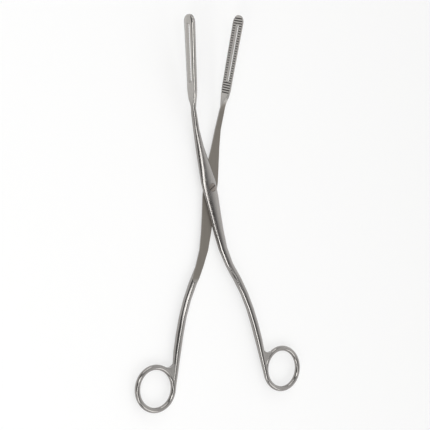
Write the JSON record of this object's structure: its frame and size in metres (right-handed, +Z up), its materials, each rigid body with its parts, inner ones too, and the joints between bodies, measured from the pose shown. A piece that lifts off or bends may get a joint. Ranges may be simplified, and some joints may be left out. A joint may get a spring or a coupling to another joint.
{
  "type": "ovum forceps",
  "caption": "Long ring-handled ovum forceps with slender windowed, cross-grooved jaws that curve upwards, crossing at a screw joint.",
  "frame": {"origin": "middle of the footprint, on the table that the forceps lies on; the screw axis stands parallel to Z at X 0.00 mm, Y 16.43 mm", "axes": "+Y from the finger rings to the jaws, +Z up through the joint to the screw head and the side that the jaws curve to, +X to the right seen from the screw head"},
  "size_m": [0.1478, 0.2786, 0.0262],
  "materials": {
    "upper_arm_steel": "polished crown, ground mating face",
    "lower_arm_steel": "polished crown, ground mating face",
    "screw_steel": "satin"
  },
  "bodies": {
    "lower": {"lower_arm": "lower_arm_steel", "joint_screw": "screw_steel"},
    "upper": {"upper_arm": "upper_arm_steel"}
  },
  "joints": [
    {"name": "arm_pivot", "type": "hinge", "parent": "lower", "child": "upper", "pos_m": [0, 0.01643, 0.00384], "axis": [0, 0, 1], "range_deg": [-19.6, 20]}
  ]
}
